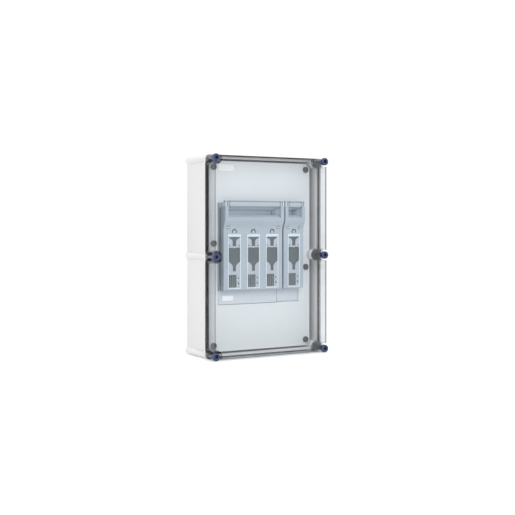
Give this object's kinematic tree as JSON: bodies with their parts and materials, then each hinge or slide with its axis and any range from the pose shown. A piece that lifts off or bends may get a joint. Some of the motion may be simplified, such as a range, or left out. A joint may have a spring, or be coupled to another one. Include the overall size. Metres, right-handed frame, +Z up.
{
  "type": "insulated fuse switch enclosure",
  "caption": "Wall-hung insulated enclosure with a clear screwed cover, a guard plate and hinged-lid blade-fuse switches behind it.",
  "frame": {"origin": "centre of the rear mounting face", "axes": "+Z up, -Y out of the wall through the clear cover, +X to the right seen from the front"},
  "size_m": [0.375, 0.175, 0.5624],
  "materials": {
    "base_plastic": "light grey moulded polycarbonate, fine satin texture",
    "blade_metal": "silver-plated contact blade",
    "cap_metal": "plain metal end plate",
    "contact_copper": "tinned copper",
    "cover_clear": "clear polycarbonate, polished",
    "dark_plastic": "dark grey moulded plastic",
    "earth_brass": "drawn brass bar",
    "frame_plastic": "white printed window frame",
    "fuse_ceramic": "glazed steatite body",
    "guard_plastic": "light grey plastic sheet, satin",
    "label_film": "blank white film label",
    "lid_plastic": "blue-grey moulded plastic, satin",
    "pane_smoked": "smoked clear plastic",
    "pillar_plastic": "grey moulded plastic",
    "screw_blue": "dark blue moulded plastic",
    "screw_steel": "zinc-plated steel",
    "seal_rubber": "dark grey foamed seal",
    "shroud_plastic": "light grey moulded plastic",
    "switch_plastic": "blue-grey moulded plastic",
    "zinc_steel": "galvanised sheet steel"
  },
  "bodies": {
    "enclosure": {"base_enclosure": "base_plastic", "cover_seal": "seal_rubber", "mounting_plate": "zinc_steel", "mounting_plate_screws": "screw_steel", "guard_pillars": "pillar_plastic", "guard_plate": "guard_plastic", "guard_plate_screws": "dark_plastic", "switch_base_3p": "switch_plastic", "switch_base_1p": "switch_plastic", "switch_screws": "screw_steel", "lid_hinge_pins": "screw_steel", "contact_jaws": "contact_copper", "jaw_springs": "screw_steel", "terminal_bolts": "screw_steel", "terminal_washers": "screw_steel", "terminal_nuts": "screw_steel", "terminal_shroud_3p": "shroud_plastic", "terminal_shroud_1p": "shroud_plastic", "rating_label": "label_film", "shroud_label": "label_film", "earth_bar": "earth_brass", "earth_bar_screws": "screw_steel", "earth_bar_feet": "pillar_plastic"},
    "cover": {"clear_cover": "cover_clear"},
    "lid_3p": {"lid_3p": "lid_plastic", "window_frames_3p": "frame_plastic", "window_panes_3p": "pane_smoked", "fuse_bodies_3p": "fuse_ceramic", "fuse_end_caps_3p": "cap_metal", "fuse_blades_3p": "blade_metal"},
    "lid_1p": {"lid_1p": "lid_plastic", "window_frames_1p": "frame_plastic", "window_panes_1p": "pane_smoked", "fuse_bodies_1p": "fuse_ceramic", "fuse_end_caps_1p": "cap_metal", "fuse_blades_1p": "blade_metal"},
    "cover_screw_top_left": {"cover_screw_top_left": "screw_blue"},
    "cover_screw_top_right": {"cover_screw_top_right": "screw_blue"},
    "cover_screw_middle_left": {"cover_screw_middle_left": "screw_blue"},
    "cover_screw_middle_right": {"cover_screw_middle_right": "screw_blue"},
    "cover_screw_bottom_left": {"cover_screw_bottom_left": "screw_blue"},
    "cover_screw_bottom_right": {"cover_screw_bottom_right": "screw_blue"}
  },
  "joints": [
    {"name": "cover_lift", "type": "slide", "parent": "enclosure", "child": "cover", "axis": [0, -1, 0], "range_m": [0, 0.5]},
    {"name": "cover_screw_top_left_turn", "type": "hinge", "parent": "cover", "child": "cover_screw_top_left", "pos_m": [-0.1765, -0.17, 0.27025], "axis": [0, 1, 0], "range_deg": [0, 90]},
    {"name": "cover_screw_top_right_turn", "type": "hinge", "parent": "cover", "child": "cover_screw_top_right", "pos_m": [0.1765, -0.17, 0.27025], "axis": [0, 1, 0], "range_deg": [0, 90]},
    {"name": "cover_screw_middle_left_turn", "type": "hinge", "parent": "cover", "child": "cover_screw_middle_left", "pos_m": [-0.1765, -0.17, 0], "axis": [0, 1, 0], "range_deg": [0, 90]},
    {"name": "cover_screw_middle_right_turn", "type": "hinge", "parent": "cover", "child": "cover_screw_middle_right", "pos_m": [0.1765, -0.17, 0], "axis": [0, 1, 0], "range_deg": [0, 90]},
    {"name": "cover_screw_bottom_left_turn", "type": "hinge", "parent": "cover", "child": "cover_screw_bottom_left", "pos_m": [-0.1765, -0.17, -0.27025], "axis": [0, 1, 0], "range_deg": [0, 90]},
    {"name": "cover_screw_bottom_right_turn", "type": "hinge", "parent": "cover", "child": "cover_screw_bottom_right", "pos_m": [0.1765, -0.17, -0.27025], "axis": [0, 1, 0], "range_deg": [0, 90]},
    {"name": "lid_3p_hinge", "type": "hinge", "parent": "enclosure", "child": "lid_3p", "pos_m": [-0.0368, -0.12, -0.088], "axis": [1, 0, 0], "range_deg": [0, 90]},
    {"name": "lid_1p_hinge", "type": "hinge", "parent": "enclosure", "child": "lid_1p", "pos_m": [0.0973, -0.12, -0.088], "axis": [1, 0, 0], "range_deg": [0, 90]}
  ],
  "couplings": [
    {"joint": "lid_3p_hinge", "follows": "cover_lift", "rad_per_m": 3.1415},
    {"joint": "lid_1p_hinge", "follows": "cover_lift", "rad_per_m": 3.1415}
  ]
}
